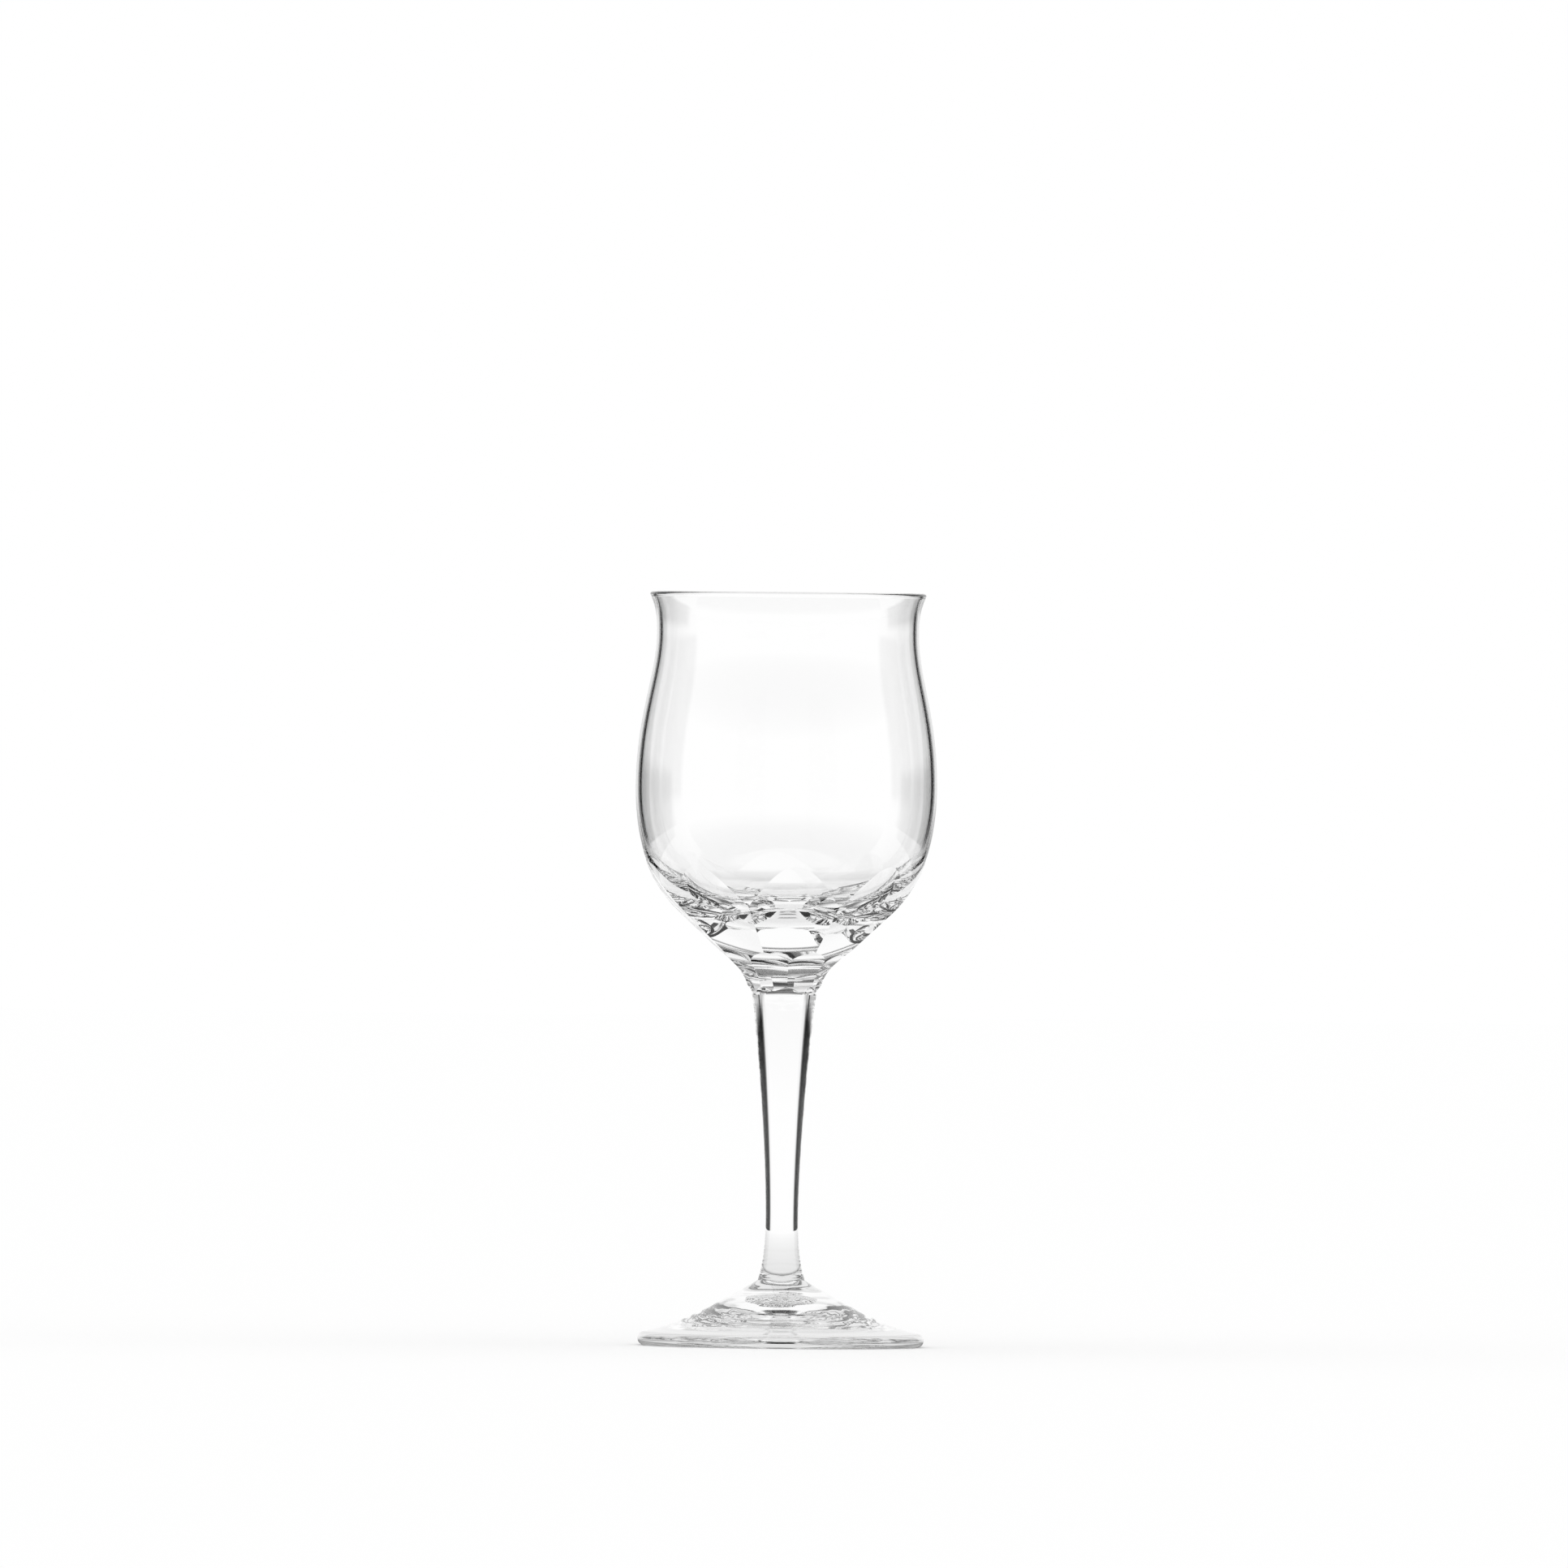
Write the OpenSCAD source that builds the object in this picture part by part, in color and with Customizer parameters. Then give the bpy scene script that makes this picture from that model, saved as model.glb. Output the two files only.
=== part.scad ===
// Liqueur glass in clear crystal, in millimetres, standing on the table at z = 0.
// A blown bowl with a waist and a flared lip, a drawn round stem and a spread foot,
// each a separate gather of glass joined hot, and two rows of flats cut round the
// base of the bowl: large flats that roll up the bowl and short hollows at the neck.

/* [Foot] */
// Radius of the foot
foot_r = 22.8; // [19:0.1:27]
// Thickness of the rounded edge of the foot
foot_edge_h = 2.2; // [1.6:0.1:3]
// Height of the foot at its joint with the stem
foot_h = 10.5; // [8:0.1:14]
// Width of the flat ring that stands on the table
rest_ring_w = 4.2; // [2:0.1:7]
// Depth of the hollow under the middle of the foot
foot_hollow_h = 0.9; // [0.3:0.1:1.5]

/* [Stem] */
// Length of the stem between its two joints
stem_h = 46; // [30:0.5:65]
// Radius of the joint between stem and foot
foot_joint_r = 3.8; // [3.2:0.1:4.6]
// Radius of the stem where it is slimmest
stem_slim_r = 2.6; // [2.1:0.1:3.1]
// Height of the slimmest place above the joint with the foot
stem_slim_z = 10; // [7:0.5:14]
// Radius of the joint between stem and bowl
bowl_joint_r = 5.2; // [4.2:0.1:6.2]

/* [Bowl] */
// Height of the bowl from its joint with the stem to the rim
bowl_h = 63.5; // [58:0.5:75]
// Radius of the rim
rim_r = 22; // [21:0.1:25]
// Height of the flared lip, from the waist to the rim
lip_h = 6.5; // [4:0.5:9]
// Radius of the waist under the lip
waist_r = 20.9; // [18:0.1:22]
// Radius of the belly
belly_r = 24; // [23.4:0.1:25]
// Height of the belly above the joint with the stem
belly_z = 32.5; // [29:0.5:37]
// Thickness of the wall
wall = 0.9; // [0.7:0.05:1.4]
// Height of the lowest point of the cavity above the joint with the stem
floor_z = 11.2; // [10:0.1:12.5]
// Radius of the cavity where its wall bends into its dished floor
cavity_bend_r = 16; // [14.5:0.1:16.8]
// Height of that bend above the joint with the stem
cavity_bend_z = 15.2; // [14.4:0.1:16.5]

/* [Cut flats] */
// Number of flats in each of the two rows
flat_count = 8; // [6:2:12]
// Lean of the large flats away from upright, in degrees
flat_angle = 46; // [44:0.2:48]
// Radius at which the large flats roll up towards the belly
flat_roll_r = 28.8; // [20:0.2:36]
// Lean of the large flats at their arched tops, in degrees
flat_top_angle = 28; // [25:0.2:31]
// Height of the straight stretch of the large flats
flat_flank_h = 8.4; // [7:0.1:9.5]
// Height of the pointed lower tips of the large flats above the joint with the stem
flat_tip_z = 4; // [3.2:0.1:4.8]
// Radius of the wheel that cuts the hollows at the neck
hollow_wheel_r = 7.5; // [6.8:0.1:8.5]
// How far the axle of that wheel lies below the joint with the stem
hollow_axle_drop = 1; // [0.6:0.1:1.6]

/* [Hidden] */

// Steps along a curve of a profile, along a rolled or hollow cut, round the edge of the foot
// or the rim, and round the axis of the glass
curve_steps = 14;
cut_steps = 10;
edge_steps = 8;
turn_steps = 96;
// Uncut ring of glass left between the hollows and the joint with the stem
joint_land = 0.03;
// Reach of a cutting outline past the glass, to the side and above, and below the joint
clear = 12;
under = 1;
// Share of the wheel's radius that shapes a hollow, and of the tip height left clear below the flats
wheel_use = 0.985;
tip_clear = 0.2;
// The blown shoulder before cutting: inside the belly, above the tips, and its lean in degrees
shoulder_inset = 6.04;
shoulder_rise = 8;
shoulder_lean = 33.7;
// Pulls of the two curves that meet at the shoulder, below it, above it and at the belly
shoulder_pull_down = 7;
shoulder_pull_up = 8;
belly_pull_down = 7.2;
// Start of the neck curve: outward, and as a share of the tip height
neck_out = 0.6;
neck_up = 0.48;
// Shares of a height over which a curve keeps the direction of its end, and of a radius
belly_keep = 0.47;
waist_keep = 0.28;
waist_lip_keep = 0.45;
rim_lean = 0.13;
rim_keep = 0.36;
cavity_keep = 0.62;
cavity_floor_keep = 0.4;
// Lean of the cavity's wall at the bend, in degrees, and the pulls of its curves above and below
cavity_bend_lean = 50;
cavity_bend_pull_up = 2.8;
cavity_bend_pull_down = 5.4;
// The same for the stem: at the foot, below and above the slim place, and at the bowl
stem_foot_in = 0.8;
stem_foot_keep = 0.2;
slim_keep_below = 0.45;
slim_keep_above = 0.33;
stem_bowl_in = 0.65;
stem_bowl_keep = 0.11;
// The same for the foot: at the joint, near the edge, and for the hollow underneath
foot_joint_out = 4.2;
foot_joint_keep = 0.22;
foot_edge_reach = 0.66;
foot_edge_rise = 0.17;
hollow_edge_reach = 0.8;
hollow_edge_rise = 0.25;
hollow_top_reach = 0.4;

stem_z = foot_h;
bowl_z = foot_h + stem_h;
half_flat = 180 / flat_count;

// The blown shape before cutting: a full shoulder that runs down into the neck
shoulder = [belly_r - shoulder_inset, flat_tip_z + shoulder_rise];
shoulder_way = [sin(shoulder_lean), cos(shoulder_lean)];
waist_z = bowl_h - lip_h;

// Outline of the neck hollows: an arc of the cutting wheel, r against z
axle_r = bowl_joint_r + joint_land + sqrt(pow(hollow_wheel_r, 2) - pow(hollow_axle_drop, 2));
function hollow_r(z) = axle_r - sqrt(pow(hollow_wheel_r, 2) - pow(z + hollow_axle_drop, 2));
hollow_top_z = hollow_wheel_r * wheel_use - hollow_axle_drop;

// Outline of the large flats: a straight flank from the tips, then a roll towards the belly
tip_r = hollow_r(flat_tip_z) / cos(half_flat);
flank_top = [tip_r + flat_flank_h * tan(flat_angle), flat_tip_z + flat_flank_h];
roll_centre = flank_top + flat_roll_r * [-cos(flat_angle), sin(flat_angle)];
roll_top = roll_centre + flat_roll_r * [cos(flat_top_angle), -sin(flat_top_angle)];

// Points of a cubic curve from p0 to p3 that leaves towards p1 and arrives from p2
function curve(p0, p1, p2, p3) = [
    for (i = [0 : curve_steps])
        let (t = i / curve_steps, u = 1 - t)
        u * u * u * p0 + 3 * t * u * u * p1 + 3 * t * t * u * p2 + t * t * t * p3
];

// The list without its first point, which repeats the last point of the curve before it
function rest(points) = [for (i = [1 : len(points) - 1]) points[i]];

// Points of an arc about c, from angle a to angle b
function arc(c, r, a, b, steps) = [
    for (i = [0 : steps]) let (w = a + (b - a) * i / steps) c + r * [cos(w), sin(w)]
];

// Side of the wall above the belly, d inside the outer surface, from the belly to the rim
function upper_side(d) = concat(
    curve([belly_r - d, belly_z],
          [belly_r - d, belly_z + belly_keep * (waist_z - belly_z)],
          [waist_r - d, waist_z - waist_keep * (waist_z - belly_z)],
          [waist_r - d, waist_z]),
    rest(curve([waist_r - d, waist_z],
               [waist_r - d, waist_z + waist_lip_keep * lip_h],
               [rim_r - d - rim_lean * lip_h, bowl_h - rim_keep * lip_h],
               [rim_r - d, bowl_h - wall / 2]))
);

// Outside of the blown bowl from its joint with the stem up to the belly
lower_outside = concat(
    curve([bowl_joint_r, 0],
          [bowl_joint_r + neck_out, neck_up * flat_tip_z],
          shoulder - shoulder_pull_down * shoulder_way,
          shoulder),
    rest(curve(shoulder,
               shoulder + shoulder_pull_up * shoulder_way,
               [belly_r, belly_z - belly_pull_down],
               [belly_r, belly_z]))
);

// Inside of the cavity from the belly down to the middle of its floor
cavity_bend = [cavity_bend_r, cavity_bend_z];
cavity_way = [sin(cavity_bend_lean), cos(cavity_bend_lean)];
lower_inside = concat(
    curve([belly_r - wall, belly_z],
          [belly_r - wall, belly_z - cavity_keep * (belly_z - cavity_bend_z)],
          cavity_bend + cavity_bend_pull_up * cavity_way,
          cavity_bend),
    rest(curve(cavity_bend,
               cavity_bend - cavity_bend_pull_down * cavity_way,
               [cavity_floor_keep * cavity_bend_r, floor_z],
               [0, floor_z]))
);

// The list in the other direction
function back(points) = [for (i = [len(points) - 1 : -1 : 0]) points[i]];

rim_round = arc([rim_r - wall / 2, bowl_h - wall / 2], wall / 2, 0, 180, edge_steps);

// The blown bowl, a solid of revolution with a thick base
module blown_bowl() {
    rotate_extrude($fn = turn_steps)
        polygon(concat([[0, 0]], lower_outside, rest(upper_side(0)), rest(rim_round),
                       rest(back(upper_side(wall))), rest(lower_inside)));
}

// The space inside one row of cuts whose outline is r against z, first cut at first_angle
module inside_cuts(outline, first_angle) {
    intersection_for (i = [0 : flat_count / 2 - 1])
        rotate([90, 0, first_angle + 2 * half_flat * i])
            linear_extrude(height = 4 * belly_r, center = true)
                polygon(concat(outline, back([for (p = outline) [-p[0], p[1]]])));
}

// Large flats: below their tips the outline swings out, clear of the neck
flat_outline = concat(
    [[belly_r + clear, -under], [belly_r + clear, tip_clear * flat_tip_z], [tip_r, flat_tip_z]],
    arc(roll_centre, flat_roll_r, -flat_angle, -flat_top_angle, cut_steps),
    [[roll_top[0] + (bowl_h + clear - roll_top[1]) * tan(flat_top_angle), bowl_h + clear]]
);

// Neck hollows: above the reach of the wheel the outline swings out, clear of the bowl
hollow_outline = concat(
    [[hollow_r(0), -under]],
    [for (i = [0 : cut_steps]) let (z = hollow_top_z * i / cut_steps) [hollow_r(z), z]],
    [[belly_r + clear, hollow_top_z + under], [belly_r + clear, bowl_h + clear]]
);

module bowl() {
    color("aliceblue", 0.45)
        translate([0, 0, bowl_z])
            intersection() {
                blown_bowl();
                inside_cuts(flat_outline, 0);
                inside_cuts(hollow_outline, half_flat);
            }
}

module stem() {
    swell_h = stem_h - stem_slim_z;
    color("azure", 0.45)
        translate([0, 0, stem_z])
            rotate_extrude($fn = turn_steps)
                polygon(concat([[0, 0]],
                    curve([foot_joint_r, 0], [foot_joint_r - stem_foot_in, stem_foot_keep * stem_slim_z],
                          [stem_slim_r, (1 - slim_keep_below) * stem_slim_z], [stem_slim_r, stem_slim_z]),
                    rest(curve([stem_slim_r, stem_slim_z],
                               [stem_slim_r, stem_slim_z + slim_keep_above * swell_h],
                               [bowl_joint_r - stem_bowl_in, stem_h - stem_bowl_keep * swell_h],
                               [bowl_joint_r, stem_h])),
                    [[0, stem_h]]));
}

module foot() {
    edge_r = foot_edge_h / 2;
    edge_x = foot_r - edge_r;
    ring_x = edge_x - rest_ring_w;
    cone_h = foot_h - foot_edge_h;
    color("ghostwhite", 0.45)
        rotate_extrude($fn = turn_steps)
            polygon(concat([[0, foot_hollow_h], [0, foot_h]],
                curve([foot_joint_r, foot_h], [foot_joint_r + foot_joint_out, (1 - foot_joint_keep) * foot_h],
                      [foot_edge_reach * foot_r, foot_edge_h + foot_edge_rise * cone_h],
                      [edge_x, foot_edge_h]),
                rest(arc([edge_x, edge_r], edge_r, 90, -90, edge_steps)),
                curve([ring_x, 0], [hollow_edge_reach * ring_x, hollow_edge_rise * foot_hollow_h],
                      [hollow_top_reach * ring_x, foot_hollow_h], [0, foot_hollow_h])));
}

bowl();
stem();
foot();
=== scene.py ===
import math

import bpy
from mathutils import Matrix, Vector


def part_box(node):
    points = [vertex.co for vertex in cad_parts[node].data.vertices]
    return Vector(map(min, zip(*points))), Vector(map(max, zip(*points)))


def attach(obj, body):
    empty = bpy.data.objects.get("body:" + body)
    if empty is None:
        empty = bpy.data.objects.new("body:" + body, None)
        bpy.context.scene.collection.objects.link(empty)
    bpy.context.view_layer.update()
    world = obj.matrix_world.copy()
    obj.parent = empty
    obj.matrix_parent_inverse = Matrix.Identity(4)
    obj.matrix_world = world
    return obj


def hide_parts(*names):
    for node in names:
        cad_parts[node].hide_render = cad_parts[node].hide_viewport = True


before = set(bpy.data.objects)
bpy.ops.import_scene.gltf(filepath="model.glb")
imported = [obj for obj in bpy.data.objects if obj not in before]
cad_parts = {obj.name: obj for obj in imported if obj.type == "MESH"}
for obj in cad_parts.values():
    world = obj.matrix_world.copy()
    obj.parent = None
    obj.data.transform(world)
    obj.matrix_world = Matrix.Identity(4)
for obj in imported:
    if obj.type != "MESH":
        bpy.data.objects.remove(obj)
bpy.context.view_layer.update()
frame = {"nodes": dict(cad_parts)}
mm = 0.001  # the sizes of the glass are written in millimetres, those of the room in metres
tiny = 0.002 * mm  # points closer than this are one
print("frame loaded:", ", ".join(frame["nodes"]))


# helpers

def linear(hexColour):  # sRGB hex to the linear colour that shaders take
    parts = [int(hexColour[i:i + 2], 16) / 255 for i in (1, 3, 5)]
    return [c / 12.92 if c <= 0.04045 else ((c + 0.055) / 1.055) ** 2.4 for c in parts] + [1.0]


def addNode(tree, kind, settings=None, links=None):  # settings set properties or sockets, links feed sockets
    node = tree.nodes.new(kind)
    for key, value in (settings or {}).items():
        if key == "stops":  # the tones of a colour ramp, each a place from 0 to 1 and a colour
            node.color_ramp.elements.remove(node.color_ramp.elements[1])
            for i, (place, colour) in enumerate(value):
                element = node.color_ramp.elements.new(place) if i else node.color_ramp.elements[0]
                element.position, element.color = place, linear(colour)
        elif isinstance(key, str) and hasattr(node, key):
            setattr(node, key, value)
        else:
            node.inputs[key].default_value = value
    for key, source in (links or {}).items():
        tree.links.new(source, node.inputs[key])
    return node


def newMaterial(name):
    material = bpy.data.materials.new(name)
    material.use_nodes = True
    material.node_tree.nodes.clear()
    return material, material.node_tree


def clearSelection():
    if bpy.context.mode != "OBJECT":
        bpy.ops.object.mode_set(mode="OBJECT")
    bpy.ops.object.select_all(action="DESELECT")


def pick(piece):
    clearSelection()
    piece.select_set(True)
    bpy.context.view_layer.objects.active = piece


# outlines are drawn as bends, each a start, two pulls and an end, as (r, z) in mm

def along(point, lean, length):  # a point further on, along a line that leans out from upright, in degrees
    angle = math.radians(lean)
    return (point[0] + length * math.sin(angle), point[1] + length * math.cos(angle))


def straight(a, b):  # a bend with no curve in it
    return [a, (a[0] + (b[0] - a[0]) / 3, a[1] + (b[1] - a[1]) / 3),
            (b[0] - (b[0] - a[0]) / 3, b[1] - (b[1] - a[1]) / 3), b]


def roundBend(centre, radius, start, end):  # part of a circle, from angle start to end in degrees
    a, b = math.radians(start), math.radians(end)
    pull = radius * 4 / 3 * math.tan((b - a) / 4)
    p = (centre[0] + radius * math.cos(a), centre[1] + radius * math.sin(a))
    q = (centre[0] + radius * math.cos(b), centre[1] + radius * math.sin(b))
    return [p, (p[0] - pull * math.sin(a), p[1] + pull * math.cos(a)),
            (q[0] + pull * math.sin(b), q[1] - pull * math.cos(b)), q]


def drawOutline(name, bends, steps):  # the bends are joined end to end
    clearSelection()
    bpy.ops.curve.primitive_bezier_curve_add(radius=mm)
    outline = bpy.context.object
    outline.name = name
    outline.data.dimensions = "3D"
    outline.data.resolution_u = steps
    outline.data.render_resolution_u = steps
    points = outline.data.splines[0].bezier_points
    points.add(len(bends) + 1 - len(points))
    for point in points:
        point.handle_left_type = "FREE"
        point.handle_right_type = "FREE"
    for i, bend in enumerate(bends):
        start, pullOut, pullIn, end = [(r * mm, 0, z * mm) for r, z in bend]
        points[i].co, points[i].handle_right = start, pullOut
        points[i + 1].co, points[i + 1].handle_left = end, pullIn
    points[0].handle_left = points[0].co
    points[-1].handle_right = points[-1].co
    bpy.ops.object.convert(target="MESH")
    return bpy.context.object


def spinOutline(outline, steps):  # spins the outline about the axis of the glass and closes what stays open
    pick(outline)
    bpy.ops.object.mode_set(mode="EDIT")
    bpy.ops.mesh.select_all(action="SELECT")
    bpy.ops.mesh.spin(steps=steps, angle=2 * math.pi, center=(0, 0, 0), axis=(0, 0, 1))
    bpy.ops.mesh.select_all(action="SELECT")
    bpy.ops.mesh.remove_doubles(threshold=tiny)
    bpy.ops.mesh.select_all(action="SELECT")
    bpy.ops.mesh.fill_holes(sides=0)
    bpy.ops.mesh.select_all(action="SELECT")
    bpy.ops.mesh.normals_make_consistent(inside=False)
    bpy.ops.object.mode_set(mode="OBJECT")
    return outline


def combine(piece, other, operation):  # applies a boolean and throws the other shape away
    pick(piece)
    bpy.ops.object.modifier_add(type="BOOLEAN")
    modifier = piece.modifiers[-1]
    modifier.operation = operation
    modifier.solver = "EXACT"
    modifier.object = other
    bpy.ops.object.modifier_apply(modifier=modifier.name)
    bpy.data.objects.remove(other)


def fuseJoints(piece, heights):  # gives the flat joint faces the material that hides a hot joint
    piece.data.materials.append(fusedJoint)
    for face in piece.data.polygons:
        if any(abs(face.center.z - z) < tiny and abs(face.normal.z) > 0.999 for z in heights):
            face.material_index = len(piece.data.materials) - 1


# materials, all one melt of lead-free crystal: clear and bright, told apart by how each surface was made

melt = {"tint": "#ffffff", "ior": 1.54}


def crystal(name, waveSize, waveHeight, stretch=(1, 1, 1), detail=1.0, roughness=0.0):  # wave sizes in mm
    material, tree = newMaterial(name)
    place = addNode(tree, "ShaderNodeTexCoord")
    mapping = addNode(tree, "ShaderNodeMapping", {"Scale": [1 / (waveSize * mm * s) for s in stretch]},
                      {"Vector": place.outputs["Object"]})
    waves = addNode(tree, "ShaderNodeTexNoise", {"Scale": 1.0, "Detail": detail, "Roughness": 0.4},
                    {"Vector": mapping.outputs["Vector"]})
    bump = addNode(tree, "ShaderNodeBump", {"Strength": 1.0, "Distance": waveHeight * mm},
                   {"Height": waves.outputs["Fac"]})
    shader = addNode(tree, "ShaderNodeBsdfPrincipled",
                     {"Base Color": linear(melt["tint"]), "IOR": melt["ior"], "Roughness": roughness,
                      "Transmission Weight": 1.0},
                     {"Normal": bump.outputs["Normal"]})
    addNode(tree, "ShaderNodeOutputMaterial", links={"Surface": shader.outputs["BSDF"]})
    return material


# blown in a mould: long soft waves that only bend light a little
blownCrystal = crystal("blown crystal, cut and polished", 14, 0.002, stretch=(1, 1, 1.6))
# drawn to a rod: faint draw lines run along the stem
drawnCrystal = crystal("drawn crystal, fire polished", 2.5, 0.002, stretch=(1, 1, 12))
# spread hot with a wooden paddle: uneven waves between the rings bend light in streaks
spreadCrystal = crystal("spread crystal, fire polished", 3.2, 0.02, detail=2.0)
# ground down where the rod that held the foot was broken off: small pits that sparkle dark and bright,
# drawn coarser than grit leaves them so that they show
groundCrystal = crystal("ground crystal, half polished", 0.45, 0.2, detail=2.0, roughness=0.02)

# where two gathers were joined hot there is no surface left to see
fusedJoint, jointTree = newMaterial("fused joint")
clearShader = addNode(jointTree, "ShaderNodeBsdfTransparent", {"Color": (1, 1, 1, 1)})
addNode(jointTree, "ShaderNodeOutputMaterial", links={"Surface": clearShader.outputs["BSDF"]})
print("materials made")


# foot

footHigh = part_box("foot")[1]  # the upper corner of the box around the CAD foot
foot = {
    "radius": footHigh.x / mm, "height": footHigh.z / mm, "jointRadius": 3.8,
    "edge": 2.2,  # thickness of the rounded rim of the foot
    "standWidth": 4.2, "hollow": 3.0,  # the flat ring that it stands on, and the hollow inside that ring
    "markRadius": 4.3, "markDepth": 0.4,  # the ground mark under the middle, where the foot was held
    "jointPull": (4.2, 0.78),  # out from the joint in mm, and a share of the height
    "rimPull": (0.66, 0.17), "standPull": (0.72, 0.56),  # shares of a radius, and of the height it rises
    "domePull": 0.52, "markPulls": (0.75, 0.4),  # shares of a radius: the flat ring's inner one, the mark's
    # rings left by the paddle, fine and broad, off centre and uneven: sway bends a ring, lobes times around
    "rings": [{"spacing": 1.7, "height": 0.018, "sway": 0.7, "lobes": 3, "turn": 0},
              {"spacing": 4.6, "height": 0.03, "sway": 0.9, "lobes": 2, "turn": 1}],
    "ringsCentre": (0.4, -0.3), "ringsGap": 0.85, "ringsFade": 2,  # gap beside the joint, length of the fade
    "upward": 0.2,  # where the normal rises more than this is the upper side
    "curveSteps": 60, "spinSteps": 240, "smoothAngle": 12,
}


def addRings(piece):  # raises low rings on the upper side, between the joint and the rim
    inner, outer = foot["jointRadius"] + foot["ringsGap"], foot["radius"] - foot["edge"]
    centreX, centreY = foot["ringsCentre"]
    for vertex in [v for v in piece.data.vertices if v.normal.z > foot["upward"]]:
        x, y = vertex.co.x / mm, vertex.co.y / mm
        radius, angle = math.hypot(x, y), math.atan2(y, x)
        if not inner < radius < outer:
            continue
        away = math.hypot(x - centreX, y - centreY)
        fade = min(1, (radius - inner) / foot["ringsFade"], (outer - radius) / foot["ringsFade"])
        for ring in foot["rings"]:
            sway = ring["sway"] * math.sin(ring["lobes"] * angle + ring["turn"])
            wave = math.sin(2 * math.pi * away / ring["spacing"] + sway)
            vertex.co.z += fade * ring["height"] * wave * mm


def footOutline():  # from the joint over the rim to the flat ring, then up the hollow and across the mark
    joint, height, edge = foot["jointRadius"], foot["height"], foot["edge"]
    rimRound, hollow, mark = edge / 2, foot["hollow"], foot["markRadius"]
    rimCentre = (foot["radius"] - rimRound, rimRound)
    standInside = rimCentre[0] - foot["standWidth"]
    (jointOut, jointUp), (rimOut, rimUp) = foot["jointPull"], foot["rimPull"]
    top = [(joint, height), (joint + jointOut, jointUp * height),
           (rimOut * foot["radius"], edge + rimUp * (height - edge)), (rimCentre[0], edge)]
    rim = [roundBend(rimCentre, rimRound, 90, 0), roundBend(rimCentre, rimRound, 0, -90)]
    stand = straight((rimCentre[0], 0), (standInside, 0))
    standOut, standUp = foot["standPull"]
    under = [(standInside, 0), (standOut * standInside, standUp * hollow),
             (foot["domePull"] * standInside, hollow), (mark, hollow)]
    markTop, (markOuter, markInner) = hollow + foot["markDepth"], foot["markPulls"]
    ground = [(mark, hollow), (markOuter * mark, markTop), (markInner * mark, markTop), (0, markTop)]
    return [top] + rim + [stand, under, ground]


def makeFoot():
    piece = spinOutline(drawOutline("foot_crystal", footOutline(), foot["curveSteps"]), foot["spinSteps"])
    addRings(piece)
    bpy.ops.object.shade_smooth_by_angle(angle=math.radians(foot["smoothAngle"]))
    piece.data.materials.append(spreadCrystal)
    fuseJoints(piece, [footHigh.z])
    piece.data.materials.append(groundCrystal)
    for face in piece.data.polygons:  # the mark is the middle of what looks down
        if face.normal.z < 0 and math.hypot(face.center.x, face.center.y) < foot["markRadius"] * mm:
            face.material_index = len(piece.data.materials) - 1
    return piece


footPiece = makeFoot()
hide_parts("foot")
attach(footPiece, "root")
print("foot made:", len(footPiece.data.polygons), "faces")


# stem

stemLow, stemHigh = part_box("stem")
stem = {
    "low": stemLow.z / mm, "high": stemHigh.z / mm, "footRadius": 3.8, "bowlRadius": 5.2,
    "slimRadius": 2.6, "slimHeight": 10,  # the slimmest place, above the joint with the foot
    "footPull": (0.8, 0.2), "bowlPull": (0.65, 0.11),  # in from the joint in mm, and a share of the height
    "slimPulls": (0.55, 0.33),  # shares of the height below and above the slimmest place
    "curveSteps": 60, "spinSteps": 160, "smoothAngle": 20,
}


def stemOutline():  # from the foot up to the bowl
    low, high, slim = stem["low"], stem["high"], stem["slimRadius"]
    slimZ = low + stem["slimHeight"]
    rise = high - slimZ
    (footIn, footUp), (bowlIn, bowlDown) = stem["footPull"], stem["bowlPull"]
    slimBelow, slimAbove = stem["slimPulls"]
    flare = [(stem["footRadius"], low), (stem["footRadius"] - footIn, low + footUp * stem["slimHeight"]),
             (slim, low + slimBelow * stem["slimHeight"]), (slim, slimZ)]
    swell = [(slim, slimZ), (slim, slimZ + slimAbove * rise),
             (stem["bowlRadius"] - bowlIn, high - bowlDown * rise), (stem["bowlRadius"], high)]
    return [flare, swell]


def makeStem():
    piece = spinOutline(drawOutline("stem_crystal", stemOutline(), stem["curveSteps"]), stem["spinSteps"])
    bpy.ops.object.shade_smooth_by_angle(angle=math.radians(stem["smoothAngle"]))
    piece.data.materials.append(drawnCrystal)
    fuseJoints(piece, [stemLow.z, stemHigh.z])
    return piece


stemPiece = makeStem()
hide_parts("stem")
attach(stemPiece, "root")
print("stem made:", len(stemPiece.data.polygons), "faces")


# bowl, with heights above its joint with the stem

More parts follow.
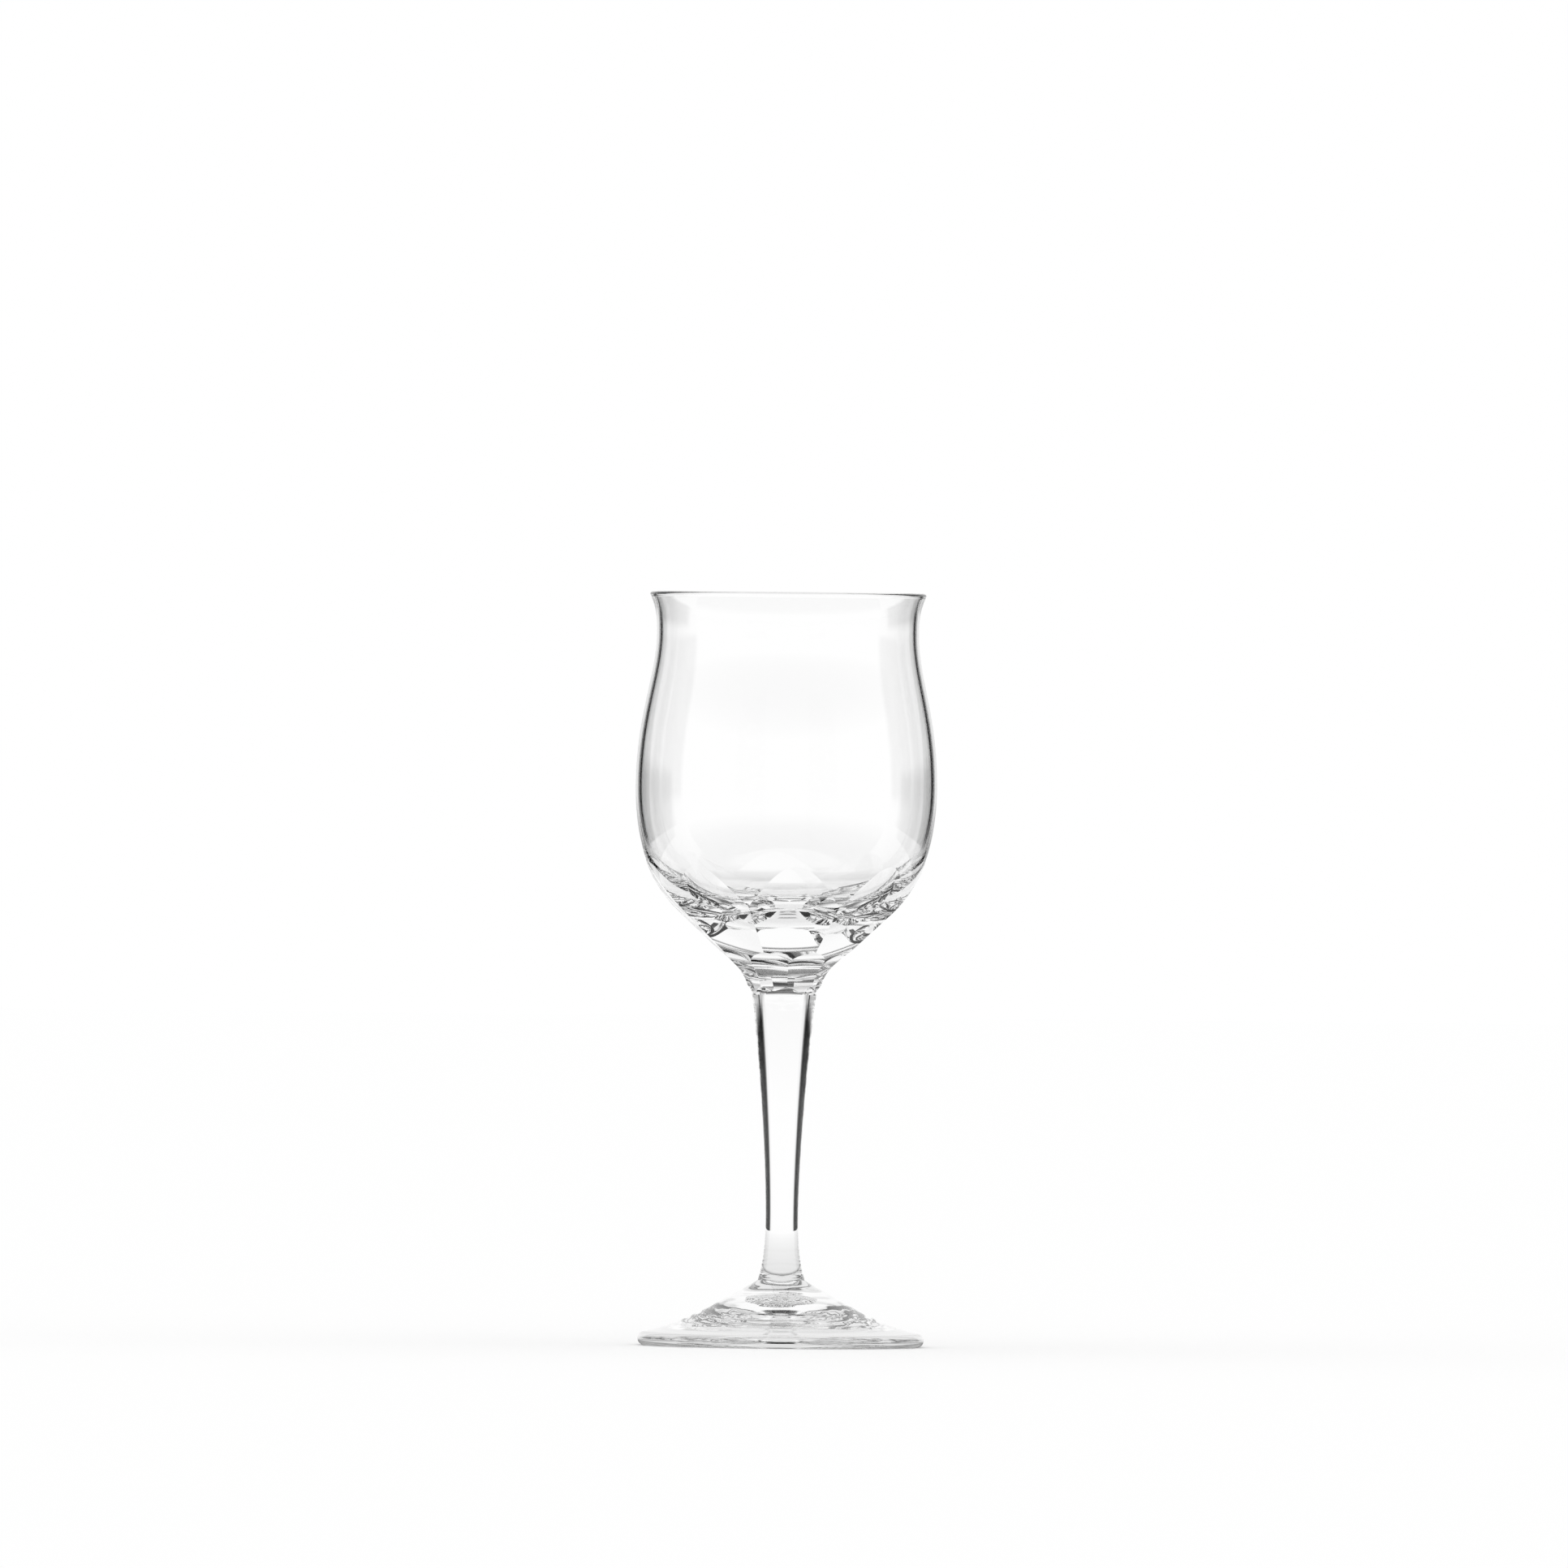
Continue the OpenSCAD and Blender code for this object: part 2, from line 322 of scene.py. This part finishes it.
bowlLow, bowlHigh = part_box("bowl")
bowl = {
    "low": bowlLow.z / mm, "high": bowlHigh.z / mm, "jointRadius": 5.2, "bellyRadius": bowlHigh.y / mm,
    "bellyHeight": 32.5, "waistRadius": 20.9, "rimRadius": 22, "lip": 6.5,  # lip is the height of the flare
    "shoulderInset": 6.04, "shoulderRise": 8, "shoulderLean": 33.7,  # in from the belly, up from cuts' tip
    "wall": 0.9, "floor": 12.6,  # thickness of the wall, and height of the bottom inside
    "cornerRadius": 16.5, "cornerHeight": 15.3, "cornerLean": 60,  # inside, where the floor meets the wall
    "neckPull": (0.6, 0.48),  # out from the joint in mm, and a share of the height of the flats' tips
    "shoulderPulls": (7, 8), "bellyPull": 7.2, "cornerPulls": (2.8, 5.4),  # in mm
    "sidePulls": (0.47, 0.28), "lipPulls": (0.45, 0.36), "lipFlare": 0.13,  # shares of the height they bend
    "wallPull": 0.62, "floorPull": 0.4,  # shares of the inner wall's height and of cornerRadius
    "curveSteps": 26, "spinSteps": 256,
}
cuts = {
    "count": 8, "tip": 4, "flankAngle": 46, "flankHeight": 8.4,  # large flats: a straight flank,
    "rollRadius": 28.8, "topAngle": 28,  # then a roll to an arched top
    "wheelRadius": 7.5, "axleDrop": 1, "wheelEnd": 100, "land": 0.03,  # neck hollows: the cutting wheel
    "reach": 12, "below": 1, "swingOut": 0.2,  # how the outlines clear the bowl, swingOut as a share of tip
    "archTop": 25.5, "sharpAngle": 4,  # edges are sharp up to just above the arched tops
    "curveSteps": 24, "straightAngle": 0.05,
}


def bowlSide(inset):  # the wall from the belly to the rim, inset from the outer surface
    bellyZ, waistZ, lip = bowl["low"] + bowl["bellyHeight"], bowl["high"] - bowl["lip"], bowl["lip"]
    bellyR, waistR, rimR = [bowl[key] - inset for key in ("bellyRadius", "waistRadius", "rimRadius")]
    rise, rimZ = waistZ - bellyZ, bowl["high"] - bowl["wall"] / 2
    (bellyPull, waistPull), (lipPull, rimPull) = bowl["sidePulls"], bowl["lipPulls"]
    return [[(bellyR, bellyZ), (bellyR, bellyZ + bellyPull * rise),
             (waistR, waistZ - waistPull * rise), (waistR, waistZ)],
            [(waistR, waistZ), (waistR, waistZ + lipPull * lip),
             (rimR - bowl["lipFlare"] * lip, bowl["high"] - rimPull * lip), (rimR, rimZ)]]


def bowlOutline():  # from the joint up the outside, over the rim and down the inside
    low, joint = bowl["low"], bowl["jointRadius"]
    bellyR, bellyZ = bowl["bellyRadius"], low + bowl["bellyHeight"]
    shoulder = (bellyR - bowl["shoulderInset"], low + cuts["tip"] + bowl["shoulderRise"])
    (neckOut, neckUp), (shoulderBelow, shoulderAbove) = bowl["neckPull"], bowl["shoulderPulls"]
    neck = [(joint, low), (joint + neckOut, low + neckUp * cuts["tip"]),
            along(shoulder, bowl["shoulderLean"], -shoulderBelow), shoulder]
    belly = [shoulder, along(shoulder, bowl["shoulderLean"], shoulderAbove),
             (bellyR, bellyZ - bowl["bellyPull"]), (bellyR, bellyZ)]
    halfWall = bowl["wall"] / 2
    rimCentre = (bowl["rimRadius"] - halfWall, bowl["high"] - halfWall)
    rim = [roundBend(rimCentre, halfWall, 0, 90), roundBend(rimCentre, halfWall, 90, 180)]
    innerSide = [bend[::-1] for bend in reversed(bowlSide(bowl["wall"]))]  # drawn downwards
    innerR, floorZ = bellyR - bowl["wall"], low + bowl["floor"]
    corner = (bowl["cornerRadius"], low + bowl["cornerHeight"])
    cornerAbove, cornerBelow = bowl["cornerPulls"]
    innerWall = [(innerR, bellyZ), (innerR, bellyZ - bowl["wallPull"] * (bellyZ - corner[1])),
                 along(corner, bowl["cornerLean"], cornerAbove), corner]
    floor = [corner, along(corner, bowl["cornerLean"], -cornerBelow),
             (bowl["floorPull"] * corner[0], floorZ), (0, floorZ)]
    return [neck, belly] + bowlSide(0) + rim + innerSide + [innerWall, floor]


def wheelAxle():  # how far from the axis of the glass the wheel turns that cuts the neck hollows
    return bowl["jointRadius"] + cuts["land"] + math.sqrt(cuts["wheelRadius"] ** 2 - cuts["axleDrop"] ** 2)


def hollowRadius(z):  # how far from the axis the wheel leaves the neck, z above the joint
    return wheelAxle() - math.sqrt(cuts["wheelRadius"] ** 2 - (z + cuts["axleDrop"]) ** 2)


def flatOutline():  # large flats: below their tips the outline swings out, clear of the neck
    low, far = bowl["low"], bowl["bellyRadius"] + cuts["reach"]
    flank, top = math.radians(cuts["flankAngle"]), math.radians(cuts["topAngle"])
    tip = (hollowRadius(cuts["tip"]) / math.cos(math.pi / cuts["count"]), low + cuts["tip"])
    flankTop = (tip[0] + cuts["flankHeight"] * math.tan(flank), tip[1] + cuts["flankHeight"])
    rollCentre = (flankTop[0] - cuts["rollRadius"] * math.cos(flank),
                  flankTop[1] + cuts["rollRadius"] * math.sin(flank))
    roll = roundBend(rollCentre, cuts["rollRadius"], -cuts["flankAngle"], -cuts["topAngle"])
    rollTop = roll[-1]
    rise = bowl["high"] + cuts["reach"] - rollTop[1]
    swing = (far, low + cuts["swingOut"] * cuts["tip"])
    end = (rollTop[0] + rise * math.tan(top), rollTop[1] + rise)
    return [straight((far, low - cuts["below"]), swing), straight(swing, tip),
            straight(tip, flankTop), roll, straight(rollTop, end)]


def hollowOutline():  # neck hollows: above the wheel the outline swings out, clear of the bowl
    low, far = bowl["low"], bowl["bellyRadius"] + cuts["reach"]
    jointAngle = 180 - math.degrees(math.asin(cuts["axleDrop"] / cuts["wheelRadius"]))
    axle = (wheelAxle(), low - cuts["axleDrop"])
    wheel = roundBend(axle, cuts["wheelRadius"], jointAngle, cuts["wheelEnd"])
    swing = (far, low + cuts["wheelRadius"])
    return [straight((wheel[0][0], low - cuts["below"]), wheel[0]), wheel, straight(wheel[-1], swing),
            straight(swing, (far, bowl["high"] + cuts["reach"]))]


def cutRow(name, side, cornerAngle):  # the space inside a row of cuts: its outline, spun a step for each cut
    corner = 1 / math.cos(math.pi / cuts["count"])  # from the middle of a flat out to its edge
    outline = drawOutline(name, [[(r * corner, z) for r, z in bend] for bend in side], cuts["curveSteps"])
    bpy.ops.object.mode_set(mode="EDIT")
    bpy.ops.mesh.select_all(action="SELECT")
    bpy.ops.mesh.remove_doubles(threshold=tiny)
    bpy.ops.mesh.dissolve_limited(angle_limit=math.radians(cuts["straightAngle"]))  # thins straight lines
    space = spinOutline(outline, cuts["count"])
    space.rotation_euler.z = math.radians(cornerAngle)
    bpy.ops.object.transform_apply(location=False, rotation=True, scale=False)
    return space


def sharpenCuts(piece):  # only the cut base has sharp edges, and only outside, where faces look down
    pick(piece)
    bpy.ops.object.shade_smooth()
    bpy.ops.object.mode_set(mode="EDIT")
    bpy.ops.mesh.select_mode(type="EDGE")
    bpy.ops.mesh.select_all(action="DESELECT")
    bpy.ops.mesh.edges_select_sharp(sharpness=math.radians(cuts["sharpAngle"]))
    bpy.ops.object.mode_set(mode="OBJECT")
    archTop = (bowl["low"] + cuts["archTop"]) * mm
    for edge in piece.data.edges:
        ends = [piece.data.vertices[i] for i in edge.vertices]
        if any(end.co.z > archTop or end.normal.z > 0 for end in ends):
            edge.select = False
    bpy.ops.object.mode_set(mode="EDIT")
    bpy.ops.mesh.mark_sharp()
    bpy.ops.object.mode_set(mode="OBJECT")


def makeBowl():
    piece = spinOutline(drawOutline("bowl_crystal", bowlOutline(), bowl["curveSteps"]), bowl["spinSteps"])
    print("bowl spun:", len(piece.data.polygons), "faces")
    combine(piece, cutRow("large_flats", flatOutline(), 180 / cuts["count"]), "INTERSECT")
    combine(piece, cutRow("neck_hollows", hollowOutline(), 0), "INTERSECT")
    sharpenCuts(piece)
    piece.data.materials.append(blownCrystal)
    fuseJoints(piece, [bowlLow.z])
    return piece


bowlPiece = makeBowl()
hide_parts("bowl")
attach(bowlPiece, "root")
print("bowl made:", len(bowlPiece.data.polygons), "faces")


# floor

paper = {
    "radius": 4.0, "corners": 96, "colour": "#f3f3f3", "lift": 0.1,  # lift is a faint glow for the camera
    # painted shade as the glass shows it, from its middle to reach: grey under the foot, a painted shadow in
    # a dark ring under the edge of the foot, then lighter out to white
    "reach": 0.3, "tones": [(0, "#e6e6e6"), (0.068, "#e6e6e6"), (0.075, "#484848"), (0.085, "#686868"),
                            (0.11, "#e6e6e6"), (0.4, "#f0f0f0"), (1, "#ffffff")],
}


def mattPaper():  # plain white paper for the camera; rays that come through the glass see painted shade instead, grey under the foot and a painted shadow ring around its edge
    material, tree = newMaterial("matt white paper with painted shade for the glass")
    ray = addNode(tree, "ShaderNodeLightPath")
    inGlass = addNode(tree, "ShaderNodeMath", {"operation": "MAXIMUM"},
                      {0: ray.outputs["Is Glossy Ray"], 1: ray.outputs["Is Transmission Ray"]})
    lift = addNode(tree, "ShaderNodeMath", {"operation": "MULTIPLY", 1: paper["lift"]},
                   {0: ray.outputs["Is Camera Ray"]})
    sheet = addNode(tree, "ShaderNodeBsdfDiffuse", {"Color": linear(paper["colour"])})
    glow = addNode(tree, "ShaderNodeEmission", {"Color": (1, 1, 1, 1)}, {"Strength": lift.outputs[0]})
    lit = addNode(tree, "ShaderNodeAddShader", links={0: sheet.outputs[0], 1: glow.outputs[0]})
    place = addNode(tree, "ShaderNodeTexCoord")
    away = addNode(tree, "ShaderNodeVectorMath", {"operation": "LENGTH"}, {0: place.outputs["Object"]})
    share = addNode(tree, "ShaderNodeMath", {"operation": "DIVIDE", 1: paper["reach"]},
                    {0: away.outputs["Value"]})
    # painted shade and painted shadow that glow for glass rays only: darker under and around the foot,
    # lighter further out
    tone = addNode(tree, "ShaderNodeValToRGB", {"stops": paper["tones"]}, {0: share.outputs[0]})
    paintedShadeInGlass = addNode(tree, "ShaderNodeEmission", {"Strength": 1.0}, {"Color": tone.outputs[0]})
    both = addNode(tree, "ShaderNodeMixShader",
                   links={0: inGlass.outputs[0], 1: lit.outputs[0], 2: paintedShadeInGlass.outputs[0]})
    addNode(tree, "ShaderNodeOutputMaterial", links={"Surface": both.outputs[0]})
    return material


def makeFloor():
    clearSelection()
    bpy.ops.mesh.primitive_circle_add(vertices=paper["corners"], radius=paper["radius"], fill_type="NGON")
    floor = bpy.context.object
    floor.name = "floor"
    floor.data.materials.append(mattPaper())


# cards that only the glass shows, each glowing in its own tones, from inner to outer edge and low to high

sideCards = {
    "distance": 0.32, "top": 0.7, "inner": 28, "outer": 84,  # edges in degrees from behind the glass
    "darkTones": [(0.02, "#f9f9f9"), (0.1, "#f3f3f3"), (0.134, "#bcbcbc"), (0.17, "#616161"),
                  (0.21, "#303030"), (0.26, "#1d1d1d"), (0.93, "#1d1d1d"), (0.99, "#cbcbcb")],
    "paleTones": [(0, "#ffffff"), (0.1, "#c4c4c4"), (0.18, "#bcbcbc"), (0.32, "#c4c4c4"),
                  (0.42, "#d4d4d4"), (0.6, "#ececec"), (0.83, "#fafafa"), (0.97, "#ffffff")],
    # at these heights in metres the pale tones take over: black is none of them, white would be all
    "paleHeights": [(0.094, "#000000"), (0.11, "#f3f3f3"), (0.29, "#f3f3f3"), (0.34, "#000000")],
}
strips = {  # they stand beside the bowl and draw the thin line inside its edge
    "near": (0.0278, 0.0412), "far": (0.0922, 0.0976),  # edges, nearly end on when seen from the corner
    "nearLow": 0.068, "farLow": 0.04, "high": 0.125,
    "tones": [(0, "#e1e1e1"), (0.26, "#e1e1e1"), (0.28, "#101010"), (1, "#101010")],
    "fade": [(0, "#000000"), (0.12, "#ffffff")],  # clear at the lower end
}
ceiling = {
    "height": 0.3, "radius": 0.9,
    "tones": [(0, "#ffffff"), (0.12, "#ffffff"), (0.2, "#383838"), (0.55, "#383838"), (0.95, "#ffffff")],
}


def cardMaterial(name):
    material, tree = newMaterial(name)
    place = addNode(tree, "ShaderNodeTexCoord")
    across = addNode(tree, "ShaderNodeSeparateXYZ", links={0: place.outputs["UV"]})
    return material, tree, across.outputs["X"], across.outputs["Y"]


def sideCard():  # dark at the sides, paler at the height of the bowl
    material, tree, across, up = cardMaterial("graded side card")
    dark = addNode(tree, "ShaderNodeValToRGB", {"stops": sideCards["darkTones"]}, {0: across})
    pale = addNode(tree, "ShaderNodeValToRGB", {"stops": sideCards["paleTones"]}, {0: across})
    heights = [(z / sideCards["top"], tone) for z, tone in sideCards["paleHeights"]]
    height = addNode(tree, "ShaderNodeValToRGB", {"stops": heights}, {0: up})
    tone = addNode(tree, "ShaderNodeMix", {"data_type": "RGBA"},  # its colours are inputs 6 and 7, output 2
                   {0: height.outputs[0], 6: dark.outputs[0], 7: pale.outputs[0]})
    glow = addNode(tree, "ShaderNodeEmission", {"Strength": 1.0}, {"Color": tone.outputs[2]})
    addNode(tree, "ShaderNodeOutputMaterial", links={"Surface": glow.outputs[0]})
    return material


def stripCard():  # a black strip with a pale inner edge that fades away at its lower end
    material, tree, across, up = cardMaterial("black strip")
    tone = addNode(tree, "ShaderNodeValToRGB", {"stops": strips["tones"]}, {0: across})
    fade = addNode(tree, "ShaderNodeValToRGB", {"stops": strips["fade"]}, {0: up})
    glow = addNode(tree, "ShaderNodeEmission", {"Strength": 1.0}, {"Color": tone.outputs[0]})
    clear = addNode(tree, "ShaderNodeBsdfTransparent")
    faded = addNode(tree, "ShaderNodeMixShader",
                    links={0: fade.outputs[0], 1: clear.outputs[0], 2: glow.outputs[0]})
    addNode(tree, "ShaderNodeOutputMaterial", links={"Surface": faded.outputs[0]})
    return material


def ceilingCard():  # white straight above the glass, dark around that, white again further out
    material, tree = newMaterial("graded ceiling")
    place = addNode(tree, "ShaderNodeTexCoord")
    share = 1 / ceiling["radius"]
    flat = addNode(tree, "ShaderNodeVectorMath", {"operation": "MULTIPLY", 1: (share, share, 0)},
                   {0: place.outputs["Object"]})
    out = addNode(tree, "ShaderNodeVectorMath", {"operation": "LENGTH"}, {0: flat.outputs[0]})
    tone = addNode(tree, "ShaderNodeValToRGB", {"stops": ceiling["tones"]}, {0: out.outputs["Value"]})
    glow = addNode(tree, "ShaderNodeEmission", {"Strength": 1.0}, {"Color": tone.outputs[0]})
    addNode(tree, "ShaderNodeOutputMaterial", links={"Surface": glow.outputs[0]})
    return material


def makeCard(name, corners, material, mirrored=True):  # the card is turned to face the way the camera does
    clearSelection()
    bpy.ops.mesh.primitive_plane_add(size=1)
    card = bpy.context.object
    card.name = name
    turn = math.radians(camera["azimuth"])
    for vertex, (x, y, z) in zip(card.data.vertices, corners):
        vertex.co = (x * math.cos(turn) - y * math.sin(turn), x * math.sin(turn) + y * math.cos(turn), z)
    card.data.materials.append(material)
    card.visible_camera = False
    card.visible_diffuse = False
    card.visible_shadow = False
    card.visible_glossy = mirrored


def makeCards():
    sideTones, stripTones, distance = sideCard(), stripCard(), sideCards["distance"]
    angles = [math.radians(sideCards[edge]) for edge in ("inner", "outer")]
    for name, sign in (("left", -1), ("right", 1)):
        makeCard(f"card_{name}", [(sign * distance * math.sin(a), distance * math.cos(a), z)
                                  for z in (0, sideCards["top"]) for a in angles], sideTones)
        (nearX, nearY), (farX, farY), high = strips["near"], strips["far"], strips["high"]
        makeCard(f"strip_{name}",
                 [(sign * nearX, nearY, strips["nearLow"]), (sign * farX, farY, strips["farLow"]),
                  (sign * nearX, nearY, high), (sign * farX, farY, high)], stripTones)
    ends = (-ceiling["radius"], ceiling["radius"])
    makeCard("ceiling", [(x, y, ceiling["height"]) for y in ends for x in ends], ceilingCard(),
             mirrored=False)


# light and camera

studio = {"light": 1.0}
camera = {
    "azimuth": -4.6, "elevation": 0.45, "roll": 0.61, "distance": 7.0, "frameWidth": 0.2496,
    "aim": (-0.00039, 0, 0.0895), "sensorWidth": 36, "clipEnd": 100,
}


def makeLight():
    world = bpy.data.worlds.new("white studio")
    bpy.context.scene.world = world
    world.use_nodes = True
    tree = world.node_tree
    tree.nodes.clear()
    light = addNode(tree, "ShaderNodeBackground", {"Color": (1, 1, 1, 1), "Strength": studio["light"]})
    addNode(tree, "ShaderNodeOutputWorld", links={"Surface": light.outputs[0]})


def makeCamera():
    azimuth, elevation = math.radians(camera["azimuth"]), math.radians(camera["elevation"])
    level = math.cos(elevation)
    back = (math.sin(azimuth) * level, -math.cos(azimuth) * level, math.sin(elevation))
    place = [a + b * camera["distance"] for a, b in zip(camera["aim"], back)]
    clearSelection()
    bpy.ops.object.camera_add(location=place)
    view = bpy.context.object
    view.rotation_euler = (math.pi / 2 - elevation, 0, azimuth)
    view.rotation_euler.rotate_axis("Z", math.radians(camera["roll"]))
    view.data.sensor_width = camera["sensorWidth"]
    view.data.lens = camera["sensorWidth"] * camera["distance"] / camera["frameWidth"]
    view.data.clip_end = camera["clipEnd"]
    bpy.context.scene.camera = view


makeFloor()
makeCards()
makeLight()
makeCamera()

scene = bpy.context.scene
scene.view_settings.view_transform = "Standard"
scene.cycles.max_bounces = 32  # a ray crosses many faces of clear glass
scene.cycles.transmission_bounces = 32
scene.cycles.glossy_bounces = 12
scene.cycles.transparent_max_bounces = 24
print("floor, cards, light and camera set")
